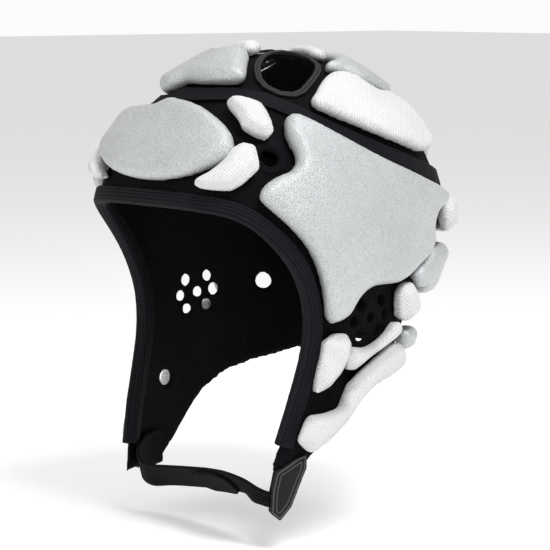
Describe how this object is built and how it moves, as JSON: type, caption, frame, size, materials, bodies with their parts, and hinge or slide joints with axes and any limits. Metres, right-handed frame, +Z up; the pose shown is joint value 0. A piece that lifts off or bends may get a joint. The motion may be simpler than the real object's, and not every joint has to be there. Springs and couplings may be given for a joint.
{
  "type": "rugby scrum cap",
  "caption": "Soft padded scrum cap with separate foam pads on a dark cloth shell, open crown vents, perforated ears, bound face edge and a chin strap with closing tab.",
  "frame": {"origin": "inner apex of the crown, where the top of the head meets the cap", "axes": "+X to the wearer's left, -Y forward through the face opening, +Z up"},
  "size_m": [0.1736, 0.2105, 0.2559],
  "materials": {
    "shell_knit": "matte knit over thin foam",
    "binding_tape": "ribbed elastic tape with stitch lines",
    "silver_knit": "fine silver-grey knit with a soft sheen",
    "white_knit": "fine off-white knit",
    "strap_webbing": "matte webbing with hook-and-loop pile",
    "closure_cloth": "coated cloth with stitched edges"
  },
  "bodies": {
    "root": {"crown_panel": "shell_knit", "body_panel": "shell_knit", "crown_band": "binding_tape", "face_binding": "binding_tape", "forehead_pad": "silver_knit", "crown_front_pad": "silver_knit", "crown_rear_pad": "silver_knit", "back_centre_pad": "silver_knit", "temple_pad_left": "silver_knit", "temple_pad_right": "silver_knit", "back_middle_pad_left": "silver_knit", "back_middle_pad_right": "silver_knit", "back_lower_pad_left": "silver_knit", "back_lower_pad_right": "silver_knit", "crown_tip_pad": "white_knit", "crown_knot_pad": "white_knit", "brow_upper_pad_left": "white_knit", "brow_upper_pad_right": "white_knit", "brow_lower_pad_left": "white_knit", "brow_lower_pad_right": "white_knit", "cheek_pad_left": "white_knit", "cheek_pad_right": "white_knit", "ear_pad_left": "white_knit", "ear_pad_right": "white_knit", "jaw_pad_left": "white_knit", "jaw_pad_right": "white_knit", "crown_side_pad_left": "white_knit", "crown_side_pad_right": "white_knit", "back_upper_pad_left": "white_knit", "back_upper_pad_right": "white_knit", "back_side_pad_left": "white_knit", "back_side_pad_right": "white_knit", "chin_strap": "strap_webbing", "strap_patch": "strap_webbing", "vent_facing_left": "closure_cloth", "vent_facing_right": "closure_cloth", "tab_outer": "closure_cloth", "tab_inner": "closure_cloth"}
  },
  "joints": []
}
